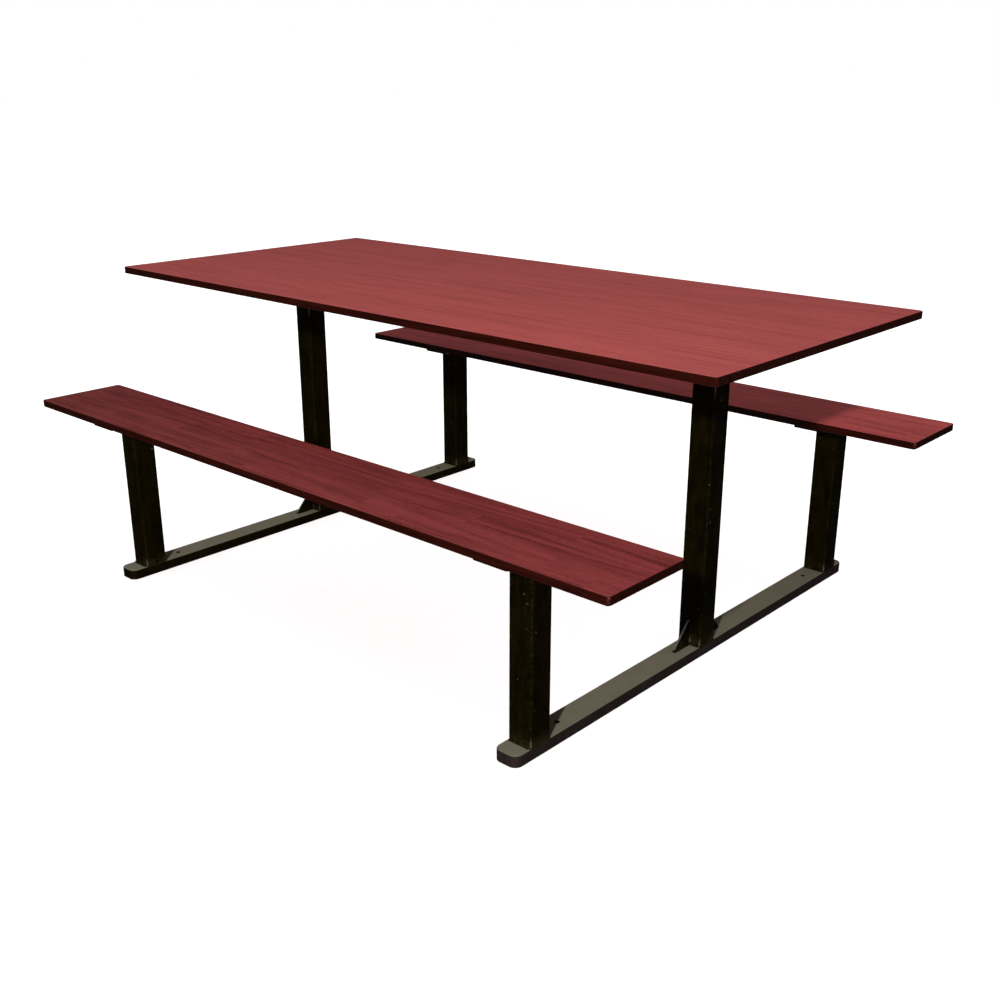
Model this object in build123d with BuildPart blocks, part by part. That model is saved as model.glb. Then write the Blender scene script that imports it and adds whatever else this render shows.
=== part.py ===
from build123d import *
import os

# A picnic table for public places: one panel top and two panel benches carried by two welded
# steel end frames. Millimetres, +Z up, X along the table, Y from the front bench to the rear
# bench. The origin is the middle of the table at floor level.

# Panels
TOP_LENGTH = 1880
TOP_WIDTH = 835
TOP_HEIGHT = 762
BENCH_LENGTH = 1870
BENCH_WIDTH = 225
SEAT_HEIGHT = 445
BENCH_Y = 585
BOARD = 18
BOARD_CORNER_R = 9
BOARD_EDGE_R = 2.5

# End frames
FRAME_X = 670
RAIL_WIDTH = 60
RAIL_LENGTH = 1316
RAIL_THICK = 25
RAIL_CORNER_R = 18
RAIL_EDGE_R = 2
POST = 60
POST_WALL = 3
POST_CORNER_R = 7
ANCHOR_R = 6
ANCHOR_Y = 500

# Gussets at the foot of the table posts
GUSSET_FOOT = 60
GUSSET_HEIGHT = 62
GUSSET_THICK = 5
GUSSET_TOE = 5

# Flat bars between the posts and the panels
BAR_WIDTH = 85
BAR_CORNER_R = 4
BENCH_PLATE_THICK = 8
BENCH_PLATE_INSET = 12
BEARER_THICK = 12
BEARER_LENGTH = 600

# Steel angles that keep the thin panels straight between the frames
ANGLE_LEG = 30
ANGLE_WALL = 4
ANGLE_ROOT_R = 4
ANGLE_TOE_R = 2
TOP_ANGLE_Y = 230

# Flange-head wood screws, driven up from below, and where they go
SHANK_R = 3
CLEARANCE_R = 3.3
SCREW_BITE = 14
PILOT_DEPTH = 15
FLANGE_R = 6.5
FLANGE_THICK = 1.2
HEX_ACROSS_FLATS = 10
HEX_THICK = 4
BAR_SCREW_SPREAD_X = 54
PLATE_SCREW_SPREAD_Y = 150
BEARER_SCREW_Y = (-260, -100, 100, 260)
ANGLE_SCREW_X = (-520, -260, 0, 260, 520)
ANGLE_SCREW_FROM_HEEL = 17.5

# Worked out from the sizes above
SIDES = {"left": -1, "right": 1}
ROWS = {"front": -1, "rear": 1}
TOP_UNDERSIDE = TOP_HEIGHT - BOARD
SEAT_UNDERSIDE = SEAT_HEIGHT - BOARD
BAR_OUTER_X = FRAME_X + POST / 2
BAR_X = BAR_OUTER_X - BAR_WIDTH / 2
BAR_INNER_X = BAR_OUTER_X - BAR_WIDTH
BENCH_PLATE_LENGTH = BENCH_WIDTH - 2 * BENCH_PLATE_INSET
ANGLE_LENGTH = 2 * BAR_INNER_X
BENCH_ANGLE_HEEL = BENCH_Y - ANGLE_LEG / 2


def save(part, name):
    """Label one finished piece and write it to its own STEP file."""
    part.label = name
    export_step(part, f"parts/{name}.step")


def bar_screw_points(side, rows_y):
    """Two screws across a flat bar at each of the given Y positions."""
    spread = BAR_SCREW_SPREAD_X / 2
    return [(side * BAR_X + dx, y) for y in rows_y for dx in (-spread, spread)]


def bench_plate_rows(row):
    """Y positions of the two screw rows in the plate under one bench."""
    return [row * BENCH_Y + dy for dy in (-PLATE_SCREW_SPREAD_Y / 2, PLATE_SCREW_SPREAD_Y / 2)]


def angle_screw_points(row, heel_y):
    """Screws along the flat leg of an angle whose heel faces the middle of the table."""
    return [(x, row * (heel_y + ANGLE_SCREW_FROM_HEEL)) for x in ANGLE_SCREW_X]


def panel(length, width, centre_y, height, pilots):
    """A glued wooden panel with soft corners and blind pilot holes in its underside."""
    underside = Plane.XY.offset(height - BOARD)
    with BuildPart() as board:
        with BuildSketch(underside):
            with Locations((0, centre_y)):
                RectangleRounded(length, width, BOARD_CORNER_R)
        extrude(amount=BOARD)
        fillet(board.faces().filter_by(Axis.Z).edges(), BOARD_EDGE_R)
        with BuildSketch(underside):
            with Locations(*pilots):
                Circle(CLEARANCE_R)
        extrude(amount=PILOT_DEPTH, mode=Mode.SUBTRACT)
    return board.part


def floor_rail(side):
    """A solid bar along the floor with rounded ends and two holes for ground anchors."""
    with BuildPart() as rail:
        with BuildSketch():
            with Locations((side * FRAME_X, 0)):
                RectangleRounded(RAIL_WIDTH, RAIL_LENGTH, RAIL_CORNER_R)
        extrude(amount=RAIL_THICK)
        fillet(rail.faces().sort_by(Axis.Z)[-1].edges(), RAIL_EDGE_R)
        with BuildSketch():
            with Locations((side * FRAME_X, -ANCHOR_Y), (side * FRAME_X, ANCHOR_Y)):
                Circle(ANCHOR_R)
        extrude(amount=RAIL_THICK, mode=Mode.SUBTRACT)
    return rail.part


def post(x, y, top):
    """A square tube standing on the floor rail."""
    bore = POST - 2 * POST_WALL
    with BuildPart() as tube:
        with BuildSketch(Plane.XY.offset(RAIL_THICK)):
            with Locations((x, y)):
                RectangleRounded(POST, POST, POST_CORNER_R)
                RectangleRounded(bore, bore, POST_CORNER_R - POST_WALL, mode=Mode.SUBTRACT)
        extrude(amount=top - RAIL_THICK)
    return tube.part


def gusset(side, row):
    """A triangular plate that braces the foot of a table post along the rail."""
    face = row * POST / 2
    foot = row * (POST / 2 + GUSSET_FOOT)
    with BuildPart() as plate:
        with BuildSketch(Plane.YZ.offset(side * FRAME_X)):
            with BuildLine():
                Polyline(
                    (face, RAIL_THICK),
                    (foot, RAIL_THICK),
                    (foot, RAIL_THICK + GUSSET_TOE),
                    (face + row * GUSSET_TOE, RAIL_THICK + GUSSET_HEIGHT),
                    (face, RAIL_THICK + GUSSET_HEIGHT),
                    close=True,
                )
            make_face()
        extrude(amount=GUSSET_THICK / 2, both=True)
    return plate.part


def flat_bar(side, centre_y, length, thick, underside, screw_points):
    """A flat bar welded across the top of a post, drilled for the screws into a panel."""
    with BuildPart() as bar:
        with BuildSketch(Plane.XY.offset(underside)):
            with Locations((side * BAR_X, centre_y)):
                RectangleRounded(BAR_WIDTH, length, BAR_CORNER_R)
            with Locations(*screw_points):
                Circle(CLEARANCE_R, mode=Mode.SUBTRACT)
        extrude(amount=thick)
    return bar.part


def angle(row, heel_y, height, screw_points):
    """An angle with its flat leg against a panel, its heel towards the middle of the table."""
    heel = row * heel_y
    toe = row * (heel_y + ANGLE_LEG)
    web = row * (heel_y + ANGLE_WALL)
    flat = height - ANGLE_WALL
    foot = height - ANGLE_LEG
    with BuildPart() as section:
        with BuildSketch(Plane.YZ.offset(-ANGLE_LENGTH / 2)) as profile:
            with BuildLine():
                Polyline(
                    (heel, height),
                    (toe, height),
                    (toe, flat),
                    (web, flat),
                    (web, foot),
                    (heel, foot),
                    close=True,
                )
            make_face()
            fillet(profile.vertices().sort_by_distance((web, flat))[0], ANGLE_ROOT_R)
            fillet(profile.vertices().sort_by_distance((toe, flat))[0], ANGLE_TOE_R)
            fillet(profile.vertices().sort_by_distance((web, foot))[0], ANGLE_TOE_R)
        extrude(amount=ANGLE_LENGTH)
        with BuildSketch(Plane.XY.offset(height)):
            with Locations(*screw_points):
                Circle(CLEARANCE_R)
        extrude(amount=-ANGLE_WALL, mode=Mode.SUBTRACT)
    return section.part


def screws(points, seat, panel_underside):
    """Hexagon flange-head screws with their flanges on the steel and their tips in the wood."""
    with BuildPart() as fasteners:
        with BuildSketch(Plane.XY.offset(seat - FLANGE_THICK)):
            with Locations(*points):
                Circle(FLANGE_R)
        extrude(amount=FLANGE_THICK)
        with BuildSketch(Plane.XY.offset(seat - FLANGE_THICK - HEX_THICK)):
            with Locations(*points):
                RegularPolygon(HEX_ACROSS_FLATS / 2, 6, major_radius=False)
        extrude(amount=HEX_THICK)
        with BuildSketch(Plane.XY.offset(seat)):
            with Locations(*points):
                Circle(SHANK_R)
        extrude(amount=panel_underside + SCREW_BITE - seat)
    return fasteners.part


os.makedirs("parts", exist_ok=True)

top_bar_points = []
for side_name, side in SIDES.items():
    save(floor_rail(side), f"floor_rail_{side_name}")
    save(post(side * FRAME_X, 0, TOP_UNDERSIDE - BEARER_THICK), f"table_post_{side_name}")
    points = bar_screw_points(side, BEARER_SCREW_Y)
    top_bar_points += points
    bearer = flat_bar(side, 0, BEARER_LENGTH, BEARER_THICK, TOP_UNDERSIDE - BEARER_THICK, points)
    save(bearer, f"top_bearer_{side_name}")
    for row_name, row in ROWS.items():
        save(gusset(side, row), f"post_gusset_{row_name}_{side_name}")
        seat_post = post(side * FRAME_X, row * BENCH_Y, SEAT_UNDERSIDE - BENCH_PLATE_THICK)
        save(seat_post, f"bench_post_{row_name}_{side_name}")

top_angle_points = []
for row_name, row in ROWS.items():
    points = angle_screw_points(row, TOP_ANGLE_Y)
    top_angle_points += points
    save(angle(row, TOP_ANGLE_Y, TOP_UNDERSIDE, points), f"top_angle_{row_name}")

save(panel(TOP_LENGTH, TOP_WIDTH, 0, TOP_HEIGHT, top_bar_points + top_angle_points), "table_top")
save(screws(top_bar_points, TOP_UNDERSIDE - BEARER_THICK, TOP_UNDERSIDE), "top_bearer_screws")
save(screws(top_angle_points, TOP_UNDERSIDE - ANGLE_WALL, TOP_UNDERSIDE), "top_angle_screws")

for row_name, row in ROWS.items():
    plate_points = []
    for side_name, side in SIDES.items():
        points = bar_screw_points(side, bench_plate_rows(row))
        plate_points += points
        underside = SEAT_UNDERSIDE - BENCH_PLATE_THICK
        plate = flat_bar(side, row * BENCH_Y, BENCH_PLATE_LENGTH, BENCH_PLATE_THICK, underside, points)
        save(plate, f"bench_plate_{row_name}_{side_name}")
    angle_points = angle_screw_points(row, BENCH_ANGLE_HEEL)
    save(angle(row, BENCH_ANGLE_HEEL, SEAT_UNDERSIDE, angle_points), f"bench_angle_{row_name}")
    seat = panel(BENCH_LENGTH, BENCH_WIDTH, row * BENCH_Y, SEAT_HEIGHT, plate_points + angle_points)
    save(seat, f"bench_{row_name}")
    plate_screws = screws(plate_points, SEAT_UNDERSIDE - BENCH_PLATE_THICK, SEAT_UNDERSIDE)
    save(plate_screws, f"bench_plate_screws_{row_name}")
    angle_screws = screws(angle_points, SEAT_UNDERSIDE - ANGLE_WALL, SEAT_UNDERSIDE)
    save(angle_screws, f"bench_angle_screws_{row_name}")
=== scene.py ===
import math
import random

import bmesh
import bpy
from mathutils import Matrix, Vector


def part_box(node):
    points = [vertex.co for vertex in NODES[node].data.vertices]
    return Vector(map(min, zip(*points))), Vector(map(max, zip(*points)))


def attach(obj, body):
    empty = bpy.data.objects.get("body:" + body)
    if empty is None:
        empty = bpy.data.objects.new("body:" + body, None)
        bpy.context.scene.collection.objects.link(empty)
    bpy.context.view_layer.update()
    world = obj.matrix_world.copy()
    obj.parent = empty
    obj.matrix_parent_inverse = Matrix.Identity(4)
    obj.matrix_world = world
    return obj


# Looks for the picnic table: stained wooden panels, coated steel frames, weld seams, floor, light and
# camera. Metres, in the row frame: +X along the table, +Y from the front bench to the rear, +Z up.

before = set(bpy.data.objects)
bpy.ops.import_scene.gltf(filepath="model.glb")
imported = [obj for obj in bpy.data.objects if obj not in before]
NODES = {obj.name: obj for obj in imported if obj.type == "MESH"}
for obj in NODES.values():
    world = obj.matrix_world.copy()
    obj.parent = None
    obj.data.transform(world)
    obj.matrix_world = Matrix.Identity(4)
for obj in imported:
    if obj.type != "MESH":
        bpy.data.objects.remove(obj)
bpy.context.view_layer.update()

ALONG = Vector((1, 0, 0))
ACROSS = Vector((0, 1, 0))
UP = Vector((0, 0, 1))
ROWS = ("front", "rear")


class Graph:
    """A short way to write a material's node tree."""

    def __init__(self, name):
        self.material = bpy.data.materials.new(name)
        self.material.use_nodes = True
        self.tree = self.material.node_tree
        self.shader = self.tree.nodes["Principled BSDF"]

    def node(self, kind, inputs=None, **settings):
        made = self.tree.nodes.new(kind)
        for key, value in settings.items():
            setattr(made, key, value)
        for key, value in (inputs or {}).items():
            self.link(value, made.inputs[key])
        return made

    def link(self, value, socket):
        if isinstance(value, bpy.types.NodeSocket):
            self.tree.links.new(value, socket)
        else:
            socket.default_value = value

    def math(self, operation, first, second=0.0, third=0.0, clamp=False):
        made = self.node("ShaderNodeMath", operation=operation, use_clamp=clamp)
        for value, socket in zip((first, second, third), made.inputs):
            self.link(value, socket)
        return made.outputs[0]

    def add(self, first, second):
        return self.math("ADD", first, second)

    def times(self, first, second):
        return self.math("MULTIPLY", first, second)

    def times_add(self, first, second, third, clamp=False):
        return self.math("MULTIPLY_ADD", first, second, third, clamp)

    def remap(self, value, low, high, to_low=0.0, to_high=1.0):
        """A smooth step from to_low, where the value is low, to to_high, where it is high."""
        inputs = {"Value": value, "From Min": low, "From Max": high, "To Min": to_low, "To Max": to_high}
        return self.node("ShaderNodeMapRange", inputs, interpolation_type="SMOOTHSTEP").outputs[0]

    def mix(self, share, first, second):
        made = self.node("ShaderNodeMix", data_type="RGBA")
        sockets = (made.inputs[0], made.inputs[6], made.inputs[7])
        for value, socket in zip((share, first, second), sockets):
            self.link(value, socket)
        return made.outputs[2]

    def vector(self, operation, first, second):
        return self.node("ShaderNodeVectorMath", {0: first, 1: second}, operation=operation).outputs[0]

    def shade(self, colour, factor):
        """A colour made darker or lighter by a factor that varies over the surface."""
        first = colour if isinstance(colour, bpy.types.NodeSocket) else colour[:3]
        made = self.node("ShaderNodeVectorMath", {0: first, "Scale": factor}, operation="SCALE")
        return made.outputs[0]

    def combine(self, x, y, z):
        return self.node("ShaderNodeCombineXYZ", {0: x, 1: y, 2: z}).outputs[0]

    def split(self, vector):
        return self.node("ShaderNodeSeparateXYZ", {0: vector}).outputs

    def noise(self, vector, detail=2.0, roughness=0.5, distortion=0.0, scale=1.0):
        inputs = {"Vector": vector, "Scale": scale}
        inputs.update({"Detail": detail, "Roughness": roughness, "Distortion": distortion})
        return self.node("ShaderNodeTexNoise", inputs).outputs[0]

    def random(self, first, second):
        """One even random number for each pair of whole numbers."""
        pair = {"Vector": self.combine(first, second, 0.0)}
        return self.node("ShaderNodeTexWhiteNoise", pair, noise_dimensions="2D").outputs["Value"]

    def place(self):
        return self.node("ShaderNodeTexCoord").outputs["Object"]

    def facing(self):
        """The X, Y and Z shares of the surface's own direction, with their signs."""
        return self.split(self.node("ShaderNodeNewGeometry").outputs["Normal"])

    def bump(self, height, strength, distance):
        inputs = {"Height": height, "Strength": strength, "Distance": distance}
        self.link(self.node("ShaderNodeBump", inputs).outputs[0], self.shader.inputs["Normal"])

    def finish(self, colour, roughness, **constants):
        """Join colour and roughness to the shader and set its other inputs."""
        self.link(colour, self.shader.inputs["Base Color"])
        self.link(roughness, self.shader.inputs["Roughness"])
        for name, value in constants.items():
            self.shader.inputs[name.replace("_", " ")].default_value = value
        return self.material


# The layers of the wood's grain: frequency along X, Y and Z, detail, roughness and distortion
GRAIN = {
    "growth": ((1.0, 13.0, 13.0), 1.5, 0.5, 0.25),
    "broad": ((1.7, 19.0, 19.0), 2.0, 0.55, 0.0),
    "streaks": ((2.8, 95.0, 95.0), 3.0, 0.6, 0.2),
    "clouds": ((1.9, 6.0, 6.0), 2.0, 0.5, 0.0),
    "hairs": ((12.0, 190.0, 190.0), 4.0, 0.8, 0.0),
    "fleck": ((150.0, 240.0, 240.0), 3.0, 0.85, 0.0),
    "pores": ((40.0, 900.0, 900.0), 1.0, 0.5, 0.0),
}
# Layers that run on through the joints between staves
UNBROKEN = ("clouds", "fleck")
# How far each layer, and each stave's own tone, moves the wood from light to dark, and the value at
# which each of them moves it neither way
GRAIN_WEIGHTS = {"broad": 0.9, "streaks": 0.9, "clouds": 0.7, "hairs": 2.1, "fleck": 2.3, "own": 0.16}
GRAIN_MIDDLE = 0.5
RING_COUNT = 13.0
RING_SHARPNESS = 2.2
RING_MIDDLE = 0.3
DARK_STREAK_MIDDLE = 0.25
DARK_STREAK_WEIGHT = 0.45
PORE_TINT = -0.22
# How much the grain may lean across a stave, and how far its own random number moves its grain
STAVE_SLANT = 0.11
STAVE_SHIFT = (31.0, 57.0, 23.0)
# The joints of each row of staves are moved along by up to this many stave lengths
ROW_OFFSET = 5.0
ROW_SEED = 3.7
# The band below the top of a panel where its upright corners get a painted highlight
HIGHLIGHT_FROM = 0.015
HIGHLIGHT_FULL = 0.004
# Ranges for remap. Noises: dark streaks, pores, the hairs that break up the painted corner highlight,
# and tones along the sides,
# which are painted dark. Directions: how far the surface is turned to count as an upright corner, and as
# an upper or lower face.
DARK_STREAKS = (0.5, 0.68)
PORES = (0.64, 0.76)
HIGHLIGHT_HAIRS = (0.36, 0.6)
EDGE_TONES = (0.7, 1.4, 0.6, 1.5)
PANEL_CORNER = (0.34, 0.5)
PANEL_FACE = (0.7, 0.985)
# Relief of the hairs and pores, and the bump's strength and distance
HAIR_RELIEF = 0.6
PORE_RELIEF = -0.7
WOOD_BUMP = (0.2, 0.0004)
WOOD_ROUGHNESS = 0.36
CLOUD_ROUGHNESS = 0.16
HAIR_ROUGHNESS = 0.22
WOOD_GLOSS = 0.1


def staves(g, place, centre_y, width, length):
    """Each stave's own random number, the leaning position in it, and the shift of its grain."""
    x, y, z = g.split(place)
    row = g.math("FLOOR", g.math("DIVIDE", g.math("SUBTRACT", y, centre_y), width))
    row_offset = g.times(g.random(row, ROW_SEED), ROW_OFFSET)
    column = g.math("FLOOR", g.add(g.math("DIVIDE", x, length), row_offset))
    own = g.random(row, column)
    slant = g.times(g.math("SUBTRACT", g.random(column, row), 0.5), STAVE_SLANT)
    leaning = g.combine(x, g.times_add(x, slant, y), z)
    shift = g.combine(*(g.times(own, amount) for amount in STAVE_SHIFT))
    return own, leaning, shift


def grain_layers(g, place, leaning, shift):
    layers = {}
    for name, (frequency, detail, roughness, distortion) in GRAIN.items():
        if name in UNBROKEN:
            at = g.vector("MULTIPLY", place, frequency)
        else:
            at = g.vector("ADD", g.vector("MULTIPLY", leaning, frequency), shift)
        layers[name] = g.noise(at, detail, roughness, distortion)
    return layers


def wood(name, light, dark, edge, highlight_and_wear, top, centre_y, stave, contrast, arches):
    """Stained panel of edge-glued staves: grain runs along X. The faces that don't look up are far
    darker: a darker stain on the sawn edges, and painted shade.

    top is the height of the upper face, centre_y is where a row of staves starts, stave is their width
    and length, contrast is that of the grain, and arches is how strongly the growth rings show.
    """
    g = Graph(name)
    place = g.place()
    own, leaning, shift = staves(g, place, centre_y, *stave)
    layers = grain_layers(g, place, leaning, shift)
    layers["own"] = own
    hairs = layers["hairs"]
    pores = g.remap(layers["pores"], *PORES)

    folds = g.math("PINGPONG", g.times(layers["growth"], RING_COUNT), 1.0)
    rings = g.math("POWER", folds, RING_SHARPNESS)
    tone = g.times(g.math("SUBTRACT", rings, RING_MIDDLE), arches)
    for layer, weight in GRAIN_WEIGHTS.items():
        tone = g.times_add(g.math("SUBTRACT", layers[layer], GRAIN_MIDDLE), weight, tone)
    dark_streaks = g.math("SUBTRACT", g.remap(layers["streaks"], *DARK_STREAKS), DARK_STREAK_MIDDLE)
    tone = g.times_add(dark_streaks, DARK_STREAK_WEIGHT, tone)
    tone = g.times_add(tone, contrast, 0.5, clamp=True)
    face = g.shade(g.mix(tone, light, dark), g.times_add(pores, PORE_TINT, 1.0))

    facing_x, facing_y, facing_z = (g.math("ABSOLUTE", share) for share in g.facing())
    # The sides: a darker stain on the sawn edges, and painted shade
    stain_and_shade_tone = g.shade(edge, g.remap(g.add(layers["streaks"], hairs), *EDGE_TONES))
    # A painted highlight on the upright corners near the top, broken up by the hairs
    corner = g.times(g.remap(g.times(facing_x, facing_y), *PANEL_CORNER), g.remap(hairs, *HIGHLIGHT_HAIRS))
    upper = g.remap(g.split(place)[2], top - HIGHLIGHT_FROM, top - HIGHLIGHT_FULL)
    stain_and_shade_tone = g.mix(g.times(corner, upper), stain_and_shade_tone, highlight_and_wear)
    colour = g.mix(g.remap(facing_z, *PANEL_FACE), stain_and_shade_tone, face)

    g.bump(g.add(g.times(hairs, HAIR_RELIEF), g.times(pores, PORE_RELIEF)), *WOOD_BUMP)
    roughness = g.times_add(layers["clouds"], CLOUD_ROUGHNESS, WOOD_ROUGHNESS)
    roughness = g.times_add(hairs, HAIR_ROUGHNESS, roughness)
    return g.finish(colour, roughness, Specular_IOR_Level=WOOD_GLOSS)


TOP_WOOD = wood(
    "red_mahogany_top",
    (0.350, 0.067, 0.062, 1),
    (0.215, 0.040, 0.037, 1),
    # The sides: a darker stain and painted shade
    (0.0125, 0.0013, 0.0004, 1),
    # The painted highlight on the upright corners, kept close to the sides' colour
    (0.022, 0.003, 0.002, 1),
    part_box("table_top")[1].z,
    centre_y=0.0,
    stave=(0.046, 0.62),
    contrast=0.6,
    arches=0.25,
)
# The benches' sides: a darker stain on the sawn edges, and painted shade
BENCH_SIDE_STAIN_AND_SHADE = (0.0115, 0.0011, 0.0003, 1)
# The painted highlight on the benches' upright corners
BENCH_CORNER_HIGHLIGHT = (0.100, 0.022, 0.024, 1)
# The rear bench is much lighter than the front one: partly a lighter stain, partly painted light that
# makes up for the key lamp's falloff
REAR_BENCH_WOOD = wood(
    "red_mahogany_rear_bench",
    (0.325, 0.0565, 0.0535, 1),
    (0.173, 0.0275, 0.026, 1),
    BENCH_SIDE_STAIN_AND_SHADE,
    BENCH_CORNER_HIGHLIGHT,
    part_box("bench_rear")[1].z,
    centre_y=0.031,
    stave=(0.056, 0.48),
    contrast=0.75,
    arches=0.55,
)
FRONT_BENCH_WOOD = wood(
    "red_mahogany_bench",
    (0.155, 0.0262, 0.0250, 1),
    (0.0735, 0.0112, 0.0108, 1),
    BENCH_SIDE_STAIN_AND_SHADE,
    BENCH_CORNER_HIGHLIGHT,
    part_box("bench_front")[1].z,
    centre_y=0.009,
    stave=(0.056, 0.48),
    contrast=0.75,
    arches=0.55,
)

# Steel. Frequencies of the coat's noises
BLOTCHES = 26.0
RUNS = (85.0, 85.0, 14.0)
GRIT = 240.0
PEEL = 850.0
CHIPS = 95.0
# How the noises add up to the mottling: the weight of the grit, the contrast and the offset
MOTTLE_GRIT = 0.9
MOTTLE_CONTRAST = 2.0
MOTTLE_OFFSET = -2.4
# Ranges for remap by height: dirt splashed up from the floor, the start and the end of the painted
# highlight lines at knee height on the table posts, and the lines at the foot of every post, painted
# highlight and scuffed paint
SPLASH_HEIGHT = (0.06, 0.025, 0.0, 0.4)
KNEE_START = (0.60, 0.65)
KNEE_END = (0.71, 0.66)
FOOT_LINES = (0.052, 0.030, 0.0, 0.5)
# Ranges for remap by noise
SPLASH_SPECKLES = (0.85, 1.15)
LINE_GRIT = (0.35, 0.6, 0.45, 1.0)
CORNER_HIGHLIGHT_GRIT = (0.45, 0.68, 0.0, 0.07)
CHIP_SPOTS = (0.735, 0.76, 0.0, 0.8)
SLOPE_GRIT = (0.4, 0.6, 0.35, 1.0)
DUST_AND_SHEEN_COVER = (0.2, 0.42, 0.9, 1.0)
# Ranges for remap by direction: how far an upright corner is turned for its lines and for its painted
# highlight, the Z and Y of a gusset's sloping edge, which gets a painted highlight, and faces turned up
# enough to get the dusty coat and painted sheen
LINE_CORNER = (0.84, 0.97)
CORNER_HIGHLIGHT_TURN = (0.55, 1.0)
SLOPE_UP = (0.4, 0.6)
SLOPE_OUT = (0.3, 0.6)
FACING_UP_TURN = (0.62, 0.93)
# The variation and the darkest tone of the pale coat on faces that look up, part dirt and part painted
# sheen, as shares of its colour
DUST_AND_SHEEN_VARIATION = 0.35
DUST_AND_SHEEN_LEAST = 0.66
# Relief of the grit beside the orange peel, and the bump's strength and distance
GRIT_RELIEF = 0.5
STEEL_BUMP = (0.16, 0.0003)
STEEL_ROUGHNESS = 0.26
GRIT_ROUGHNESS = 0.3
DUST_ROUGHNESS = 0.25
STEEL_GLOSS = 0.045
STEEL_SHEEN = (1.0, 0.8, 0.25, 1)

COAT = (0.0013, 0.0008, 0.00005, 1)
COAT_MOTTLE = (0.0037, 0.0026, 0.0001, 1)
# Pale colour for the painted highlight on the rounded corners, and for chips
COAT_HIGHLIGHT_AND_CHIPS = (0.055, 0.052, 0.042, 1)
SPLASH = (0.024, 0.018, 0.007, 1)
# Pale lines down the post corners: painted highlight, and scuffed paint at the foot
HIGHLIGHT_AND_SCUFF_LINE = (0.085, 0.076, 0.058, 1)
# A painted highlight on a gusset's sloping edge
GUSSET_SLOPE_HIGHLIGHT = (0.062, 0.064, 0.061, 1)
# The rails' pale colour for the painted corner highlight and for chips
RAIL_HIGHLIGHT_AND_CHIPS = (0.05, 0.045, 0.04, 1)


def with_splashes(g, colour, height, grit, blotches):
    """Specks of dirt splashed up from the floor."""
    speckles = g.remap(g.add(grit, blotches), *SPLASH_SPECKLES)
    return g.mix(g.times(g.remap(height, *SPLASH_HEIGHT), speckles), colour, SPLASH)


def with_corner_lines(g, colour, height, grit, corner):
    """Lines down the post corners at knee height and at the foot: painted highlight, and scuffed paint
    at the foot as well.
    """
    knees = g.times(g.remap(height, *KNEE_START), g.remap(height, *KNEE_END))
    line_heights = g.math("MAXIMUM", knees, g.remap(height, *FOOT_LINES))
    line = g.times(g.remap(corner, *LINE_CORNER), g.remap(grit, *LINE_GRIT))
    return g.mix(g.times(line_heights, line), colour, HIGHLIGHT_AND_SCUFF_LINE)


def with_painted_slope_highlight(g, colour, facing_y, facing_z, grit):
    """A painted highlight on a gusset's sloping edge."""
    slope = g.times(g.remap(facing_z, *SLOPE_UP), g.remap(facing_y, *SLOPE_OUT))
    return g.mix(g.times(slope, g.remap(grit, *SLOPE_GRIT)), colour, GUSSET_SLOPE_HIGHLIGHT)


def coated_steel(name, coat, mottle, highlight_and_wear, dust_and_sheen=None, paint_slope_highlight=False):
    """Powder coat over steel: orange peel, mottling, a painted highlight on the rounded corners, and
    chips.

    Without dust_and_sheen it also has splashes of dirt near the floor, and lines down the post corners:
    painted highlight, and scuffed paint at the foot.
    With dust_and_sheen, faces that look up get a pale coat: dusty dirt, and painted sheen of the bright
    sky.
    """
    g = Graph(name)
    place = g.place()
    blotches = g.noise(place, detail=5.0, roughness=0.7, scale=BLOTCHES)
    runs = g.noise(g.vector("MULTIPLY", place, RUNS), detail=3.0, roughness=0.6)
    peel = g.noise(place, detail=1.5, roughness=0.5, scale=PEEL)
    grit = g.noise(place, detail=3.0, roughness=0.7, scale=GRIT)
    facing_x, facing_y, facing_z = (g.math("ABSOLUTE", share) for share in g.facing())
    corner = g.times(g.times(facing_x, facing_y), 2.0)

    mottling = g.times_add(grit, MOTTLE_GRIT, g.add(blotches, runs))
    mottling = g.times_add(mottling, MOTTLE_CONTRAST, MOTTLE_OFFSET, clamp=True)
    colour = g.mix(mottling, coat, mottle)
    if dust_and_sheen is None:
        height = g.split(place)[2]
        colour = with_splashes(g, colour, height, grit, blotches)
        # Painted highlight lines down the corners, with scuffed paint at the foot
        colour = with_corner_lines(g, colour, height, grit, corner)
    # A painted highlight along the rounded corners, and chips of real wear
    corner_highlight = g.times(g.remap(corner, *CORNER_HIGHLIGHT_TURN), g.remap(grit, *CORNER_HIGHLIGHT_GRIT))
    chips = g.remap(g.noise(place, detail=2.0, roughness=0.55, scale=CHIPS), *CHIP_SPOTS)
    colour = g.mix(g.math("MAXIMUM", corner_highlight, chips), colour, highlight_and_wear)
    if paint_slope_highlight:
        colour = with_painted_slope_highlight(g, colour, facing_y, facing_z, grit)
    roughness = g.times_add(grit, GRIT_ROUGHNESS, STEEL_ROUGHNESS)
    if dust_and_sheen is not None:
        # Faces that look up get a pale coat: dusty dirt, and painted sheen of the bright sky
        dust_and_sheen_film = g.shade(dust_and_sheen, g.times_add(g.add(grit, blotches), DUST_AND_SHEEN_VARIATION, DUST_AND_SHEEN_LEAST))
        facing_up = g.remap(g.facing()[2], *FACING_UP_TURN)
        colour = g.mix(g.times(facing_up, g.remap(blotches, *DUST_AND_SHEEN_COVER)), colour, dust_and_sheen_film)
        roughness = g.times_add(facing_up, DUST_ROUGHNESS, roughness)
    g.bump(g.times_add(grit, GRIT_RELIEF, peel), *STEEL_BUMP)
    return g.finish(colour, roughness, Specular_IOR_Level=STEEL_GLOSS, Specular_Tint=STEEL_SHEEN)


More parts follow.
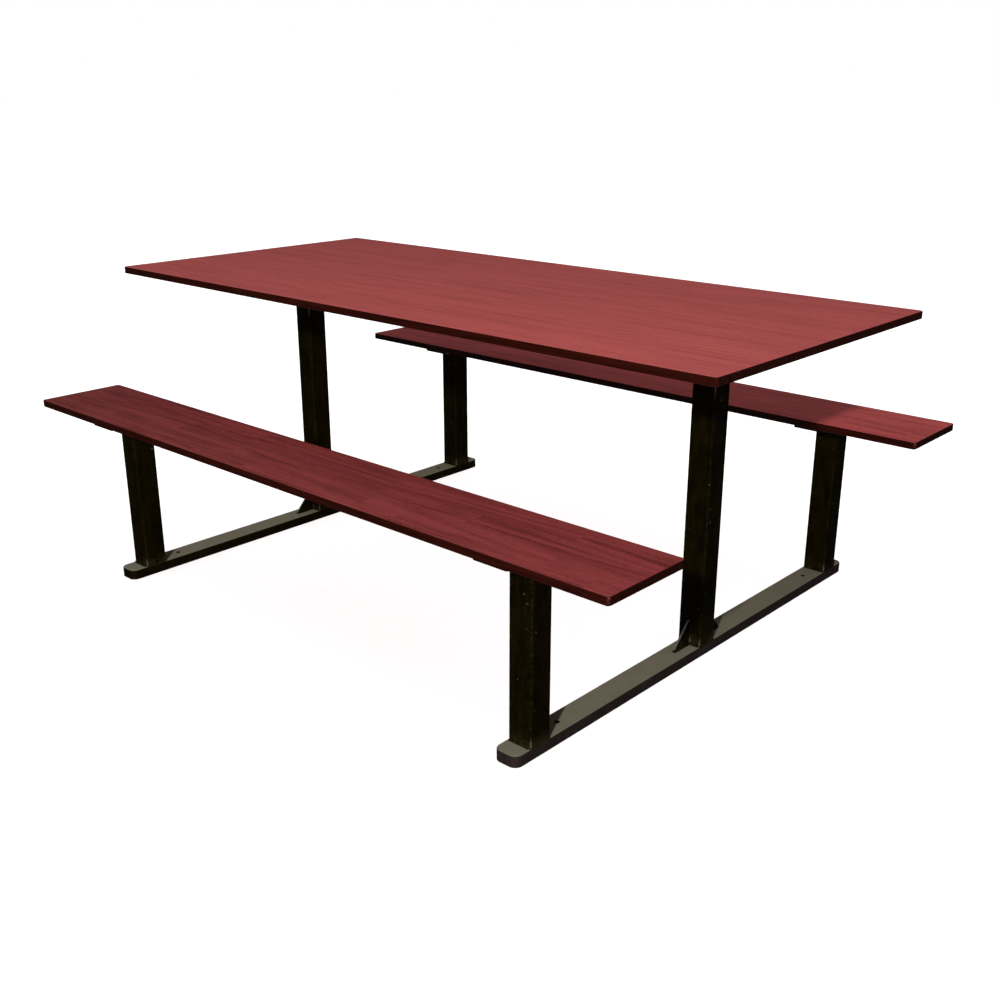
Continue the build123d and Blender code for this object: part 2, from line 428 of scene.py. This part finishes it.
def zinc(name):
    """Dull zinc plating with fine crystalline patches."""
    g = Graph(name)
    patches = g.noise(g.place(), detail=3.0, roughness=0.6, scale=420.0)
    colour = g.mix(patches, (0.30, 0.30, 0.29, 1), (0.52, 0.52, 0.50, 1))
    g.bump(patches, 0.1, 0.0002)
    return g.finish(colour, g.times_add(patches, 0.25, 0.3), Metallic=0.9)


POST_STEEL = coated_steel("black_powder_coat", COAT, COAT_MOTTLE, COAT_HIGHLIGHT_AND_CHIPS)
# Gussets: the same coat, with a painted highlight on the sloping edge
GUSSET_STEEL = coated_steel("powder_coat_painted_slope_highlight", COAT, COAT_MOTTLE, COAT_HIGHLIGHT_AND_CHIPS, paint_slope_highlight=True)
# The right rail: a pale dusty coat with painted sheen on its top
RIGHT_RAIL_STEEL = coated_steel(
    "powder_coat_dust_and_sheen",
    (0.0085, 0.0052, 0.0052, 1),
    (0.014, 0.0095, 0.0090, 1),
    RAIL_HIGHLIGHT_AND_CHIPS,
    dust_and_sheen=(0.096, 0.090, 0.063, 1),
)
# The left rail: its sides are a darker copy of the right rail's as painted shade, and its top is lighter
# as painted light where the lamp leaves it in shade
LEFT_RAIL_STEEL = coated_steel(
    "powder_coat_painted_shade_sides_painted_light_top",
    (0.0020, 0.0010, 0.0001, 1),
    (0.0042, 0.0028, 0.0006, 1),
    RAIL_HIGHLIGHT_AND_CHIPS,
    dust_and_sheen=(0.118, 0.112, 0.079, 1),
)
SCREW_ZINC = zinc("dull_zinc")


def named(*starts):
    """The CAD nodes whose names start so, without the screws."""
    return [name for name in sorted(NODES) if name.startswith(starts) and "screws" not in name]


def paint(node_names, material):
    """Give CAD nodes a material in place of their plain one."""
    for name in node_names:
        slots = NODES[name].data.materials
        slots.clear()
        slots.append(material)


paint(["table_top"], TOP_WOOD)
paint(["bench_front"], FRONT_BENCH_WOOD)
paint(["bench_rear"], REAR_BENCH_WOOD)
paint(["floor_rail_left"], LEFT_RAIL_STEEL)
paint(["floor_rail_right"], RIGHT_RAIL_STEEL)
paint(named("table_post", "bench_post", "top_bearer", "bench_plate"), POST_STEEL)
paint(named("top_angle", "bench_angle"), POST_STEEL)
paint(named("post_gusset"), GUSSET_STEEL)
paint([name for name in NODES if "screws" in name], SCREW_ZINC)

# Weld seams. The distance between sections along a seam, the points round each one, the steps round
# a post's corner, and how far a seam's root is sunk into the steel
SEAM_STEP = 0.0016
SEAM_POINTS = 7
CORNER_TURNS = 8
SUNK = 0.0006
# A seam's size as a share of its leg: its mean, its ripples, its slow lumps, of which each section
# keeps a part from the one before, and its unevenness. It is fuller at its toes than between them.
MEAN_SIZE = 0.9
RIPPLE_PITCH = 0.0036
RIPPLE = 0.16
LUMP = 0.3
LUMP_KEPT = 0.7
LUMP_NEW = 0.3
UNEVENNESS = 0.07
WAIST = 0.80
TOE_SWELL = 0.20
# The radius of a post's corners
POST_RADIUS = 0.007
# The leg of each seam, how much smaller it is at a post's head, and the gap left at a gusset's corner
TABLE_POST_LEG = 0.0052
BENCH_POST_LEG = 0.0045
HEAD_SHARE = 0.8
GUSSET_LEG = 0.0036
GUSSET_CLEAR = 0.002
ANGLE_LEG = 0.003
# Where a post is flush with the rail or bar its seam is shallow. At the foot it lies in the groove
# above the rail's rounded edge, so it is moved in and down.
FLUSH_FOOT_LEG = 0.0022
FLUSH_HEAD_LEG = 0.0012
FLUSH_IN = 0.0010
FLUSH_DOWN = 0.0014


def seam_ring(point, out, rise, size):
    """The points of one section through a seam: a rounded hypotenuse and the root."""
    root = point - (out + rise) * SUNK
    around = []
    for step in range(SEAM_POINTS):
        turn = math.pi / 2 * step / (SEAM_POINTS - 1)
        belly = size * (WAIST + TOE_SWELL * abs(math.cos(2 * turn)))
        around.append(root + out * belly * math.cos(turn) + rise * belly * math.sin(turn))
    around.append(root)
    return around


def skin(mesh, rings, closed):
    """Faces from each section of a seam to the next, and an end cap at both ends of an open one."""
    pairs = list(zip(rings, rings[1:]))
    if closed:
        pairs.append((rings[-1], rings[0]))
    sides = SEAM_POINTS + 1
    for one, other in pairs:
        for step in range(sides):
            after = (step + 1) % sides
            mesh.faces.new((one[step], one[after], other[after], other[step]))
    if not closed:
        mesh.faces.new(rings[0])
        mesh.faces.new(list(reversed(rings[-1])))
    bmesh.ops.recalc_face_normals(mesh, faces=mesh.faces)


def weld_bead(name, path, outward, rise, closed, legs):
    """A rippled fillet weld that fills the corner between two faces, along a path of points.

    For each point, outward and rise hold the directions along the two faces away from the corner, and
    legs holds the width of the bead on each face.
    """
    seeded = random.Random(name)
    mesh = bmesh.new()
    rings = []
    length = 0.0
    lump = 0.0
    for index, point in enumerate(path):
        if index:
            length += (point - path[index - 1]).length
        lump = lump * LUMP_KEPT + LUMP_NEW * seeded.uniform(-1, 1)
        ripple = RIPPLE * abs(math.sin(math.pi * length / RIPPLE_PITCH))
        ripple = ripple + LUMP * lump + UNEVENNESS * seeded.uniform(-1, 1)
        around = seam_ring(point, outward[index], rise[index], legs[index] * (MEAN_SIZE + ripple))
        rings.append([mesh.verts.new(place) for place in around])
    skin(mesh, rings, closed)
    data = bpy.data.meshes.new(name)
    mesh.to_mesh(data)
    mesh.free()
    data.polygons.foreach_set("use_smooth", [True] * len(data.polygons))
    data.materials.append(POST_STEEL)
    bead = bpy.data.objects.new(name, data)
    bpy.context.scene.collection.objects.link(bead)
    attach(bead, "root")


def straight_bead(name, start, end, out, rise, leg):
    count = max(2, int((end - start).length / SEAM_STEP))
    path = [start.lerp(end, k / count) for k in range(count + 1)]
    size = len(path)
    weld_bead(name, path, [out] * size, [rise] * size, False, [leg] * size)


def post_ring(node, height):
    """Points round a square post at a height, with the direction out of the post at each."""
    low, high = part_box(node)
    points = []
    normals = []
    corners = [
        (high.x - POST_RADIUS, high.y - POST_RADIUS, 0),
        (low.x + POST_RADIUS, high.y - POST_RADIUS, 90),
        (low.x + POST_RADIUS, low.y + POST_RADIUS, 180),
        (high.x - POST_RADIUS, low.y + POST_RADIUS, 270),
    ]
    for index, (x, y, start) in enumerate(corners):
        for k in range(CORNER_TURNS + 1):
            turn = math.radians(start + 90 * k / CORNER_TURNS)
            out = Vector((math.cos(turn), math.sin(turn), 0))
            points.append(Vector((x, y, height)) + out * POST_RADIUS)
            normals.append(out)
        here = points[-1]
        next_x, next_y, _ = corners[(index + 1) % 4]
        out = normals[-1]
        there = Vector((next_x, next_y, height)) + out * POST_RADIUS
        count = max(1, int((there - here).length / SEAM_STEP))
        for k in range(1, count):
            points.append(here.lerp(there, k / count))
            normals.append(out)
    return points, normals


def post_welds(post, leg):
    """A seam round the foot of a post and another round its top, under the flat bar."""
    low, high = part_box(post)
    points, normals = post_ring(post, low.z)
    flush = [normal.x**2 for normal in normals]
    legs = [leg + (FLUSH_FOOT_LEG - leg) * share for share in flush]
    moves = [(normal * FLUSH_IN + UP * FLUSH_DOWN) * share for normal, share in zip(normals, flush)]
    path = [point - move for point, move in zip(points, moves)]
    weld_bead(f"weld_foot_{post}", path, normals, [UP] * len(path), True, legs)

    outer = 1 if low.x > 0 else -1
    points, normals = post_ring(post, high.z)
    flush = [max(0.0, normal.x * outer) ** 2 for normal in normals]
    head_leg = leg * HEAD_SHARE
    legs = [head_leg + (FLUSH_HEAD_LEG - head_leg) * share for share in flush]
    weld_bead(f"weld_head_{post}", points, normals, [-UP] * len(points), True, legs)


def gusset_welds(gusset):
    """Seams on both faces of a gusset, along the rail and up the post."""
    low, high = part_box(gusset)
    away = 1 if low.y + high.y > 0 else -1
    post_y = low.y if away > 0 else high.y
    foot_y = high.y if away > 0 else low.y
    inset = GUSSET_LEG + GUSSET_CLEAR
    for x, out, tag in ((low.x, -ALONG, "a"), (high.x, ALONG, "b")):
        start = Vector((x, post_y + away * inset, low.z))
        end = Vector((x, foot_y, low.z))
        straight_bead(f"weld_rail_{tag}_{gusset}", start, end, out, UP, GUSSET_LEG)
        start = Vector((x, post_y, low.z + inset))
        end = Vector((x, post_y, high.z))
        straight_bead(f"weld_post_{tag}_{gusset}", start, end, out, ACROSS * away, GUSSET_LEG)


def angle_welds(angle, bar):
    """Short seams where an angle's ends meet the flat bars, on the side of its web."""
    low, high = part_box(angle)
    bar_low, bar_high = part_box(bar)
    behind = low.y + high.y > 0
    web_y = low.y if behind else high.y
    out = -ACROSS if behind else ACROSS
    for x, tag, along in ((low.x, "left", ALONG), (high.x, "right", -ALONG)):
        start = Vector((x, web_y, bar_low.z))
        end = Vector((x, web_y, bar_high.z))
        straight_bead(f"weld_{tag}_{angle}", start, end, out, along, ANGLE_LEG)


for post in named("table_post"):
    post_welds(post, TABLE_POST_LEG)
for post in named("bench_post"):
    post_welds(post, BENCH_POST_LEG)
for gusset in named("post_gusset"):
    gusset_welds(gusset)
for row in ROWS:
    angle_welds(f"top_angle_{row}", "top_bearer_left")
    angle_welds(f"bench_angle_{row}", f"bench_plate_{row}_left")

# Studio. The sky is dark up to SKY_FROM and bright from SKY_FULL on, each the Z of a direction.
SKY_LIGHT = 1.0
HORIZON_LIGHT = 0.04
SKY_FROM = 0.42
SKY_FULL = 0.9
SKY_COLOUR = (0.93, 0.97, 1.0, 1)
BACKDROP = (1, 1, 1, 1)
FLOOR_DARK = (0.86, 0.86, 0.86, 1)
FLOOR_LIGHT = (0.9, 0.9, 0.9, 1)
FLOOR_ROUGHNESS = 0.9
FLOOR_HALF = 60.0
KEY_AT = (2.5, -4.35, 2.6)
KEY_AIM = (0, 0, 0.5)
KEY_SIZE = 0.2
KEY_POWER = 480.0
WASH_AT = (0, 0, 4)
WASH_POWER = 3.0
WASH_SPREAD = 0.5
CAMERA_AT = (1.9836, -2.1157, 1.2408)
CAMERA_HEADING = 42.262
CAMERA_DIP = 19.659
SENSOR = 36.0
LENS = 42.44


def sky():
    """Plain white to the camera, and an overhead light to everything else."""
    world = bpy.data.worlds.new("studio")
    bpy.context.scene.world = world
    world.use_nodes = True
    tree = world.node_tree
    height = tree.nodes.new("ShaderNodeSeparateXYZ")
    tree.links.new(tree.nodes.new("ShaderNodeTexCoord").outputs["Generated"], height.inputs[0])
    climb = tree.nodes.new("ShaderNodeMapRange")
    climb.interpolation_type = "SMOOTHSTEP"
    tree.links.new(height.outputs[2], climb.inputs["Value"])
    climb.inputs["From Min"].default_value = SKY_FROM
    climb.inputs["From Max"].default_value = SKY_FULL
    climb.inputs["To Min"].default_value = HORIZON_LIGHT
    climb.inputs["To Max"].default_value = SKY_LIGHT
    light = tree.nodes["Background"]
    light.inputs["Color"].default_value = SKY_COLOUR
    tree.links.new(climb.outputs[0], light.inputs["Strength"])
    seen = tree.nodes.new("ShaderNodeBackground")
    seen.inputs["Color"].default_value = BACKDROP
    seen.inputs["Strength"].default_value = 1.0
    chosen = tree.nodes.new("ShaderNodeMixShader")
    path = tree.nodes.new("ShaderNodeLightPath")
    tree.links.new(path.outputs["Is Camera Ray"], chosen.inputs[0])
    tree.links.new(light.outputs[0], chosen.inputs[1])
    tree.links.new(seen.outputs[0], chosen.inputs[2])
    tree.links.new(chosen.outputs[0], tree.nodes["World Output"].inputs[0])


def pale_floor():
    mesh = bpy.data.meshes.new("floor")
    low, high = -FLOOR_HALF, FLOOR_HALF
    corners = [(low, low, 0), (high, low, 0), (high, high, 0), (low, high, 0)]
    mesh.from_pydata(corners, [], [(0, 1, 2, 3)])
    floor = bpy.data.objects.new("floor", mesh)
    bpy.context.scene.collection.objects.link(floor)
    g = Graph("pale_floor")
    speckle = g.noise(g.place(), detail=3.0, roughness=0.6, scale=40.0)
    g.finish(g.mix(speckle, FLOOR_DARK, FLOOR_LIGHT), FLOOR_ROUGHNESS, Specular_IOR_Level=0.0)
    mesh.materials.append(g.material)
    floor.visible_glossy = False
    return floor


def lamp(name, kind, power, place, lit):
    """A lamp that lights only the objects in lit."""
    data = bpy.data.lights.new(name, kind)
    data.energy = power
    made = bpy.data.objects.new(name, data)
    made.location = place
    bpy.context.scene.collection.objects.link(made)
    receivers = bpy.data.collections.new(f"lit_by_{name}")
    bpy.context.scene.collection.children.link(receivers)
    for thing in lit:
        receivers.objects.link(thing)
    made.light_linking.receiver_collection = receivers
    return made


def studio():
    """A wide pale floor, a plain sky, one soft lamp from the front right, and a wash on the floor."""
    sky()
    floor = pale_floor()
    table = [thing for thing in bpy.context.scene.objects if thing.type == "MESH" and thing != floor]
    key = lamp("key", "AREA", KEY_POWER, KEY_AT, table)
    key.data.shape = "DISK"
    key.data.size = KEY_SIZE
    key.rotation_euler = (Vector(KEY_AIM) - Vector(KEY_AT)).to_track_quat("-Z", "Y").to_euler()
    key.visible_glossy = False
    wash = lamp("floor_wash", "SUN", WASH_POWER, WASH_AT, [floor])
    wash.data.angle = WASH_SPREAD
    wash.data.use_shadow = False
    bpy.context.scene.view_settings.view_transform = "Standard"


def camera():
    """The camera stands off the front right corner, a little above the tabletop."""
    data = bpy.data.cameras.new("camera")
    data.sensor_width = SENSOR
    data.lens = LENS
    eye = bpy.data.objects.new("camera", data)
    heading = math.radians(CAMERA_HEADING)
    dip = math.radians(CAMERA_DIP)
    level = math.cos(dip)
    view = Vector((-math.sin(heading) * level, math.cos(heading) * level, -math.sin(dip)))
    eye.location = CAMERA_AT
    eye.rotation_euler = view.to_track_quat("-Z", "Y").to_euler()
    bpy.context.scene.collection.objects.link(eye)
    bpy.context.scene.camera = eye


studio()
camera()
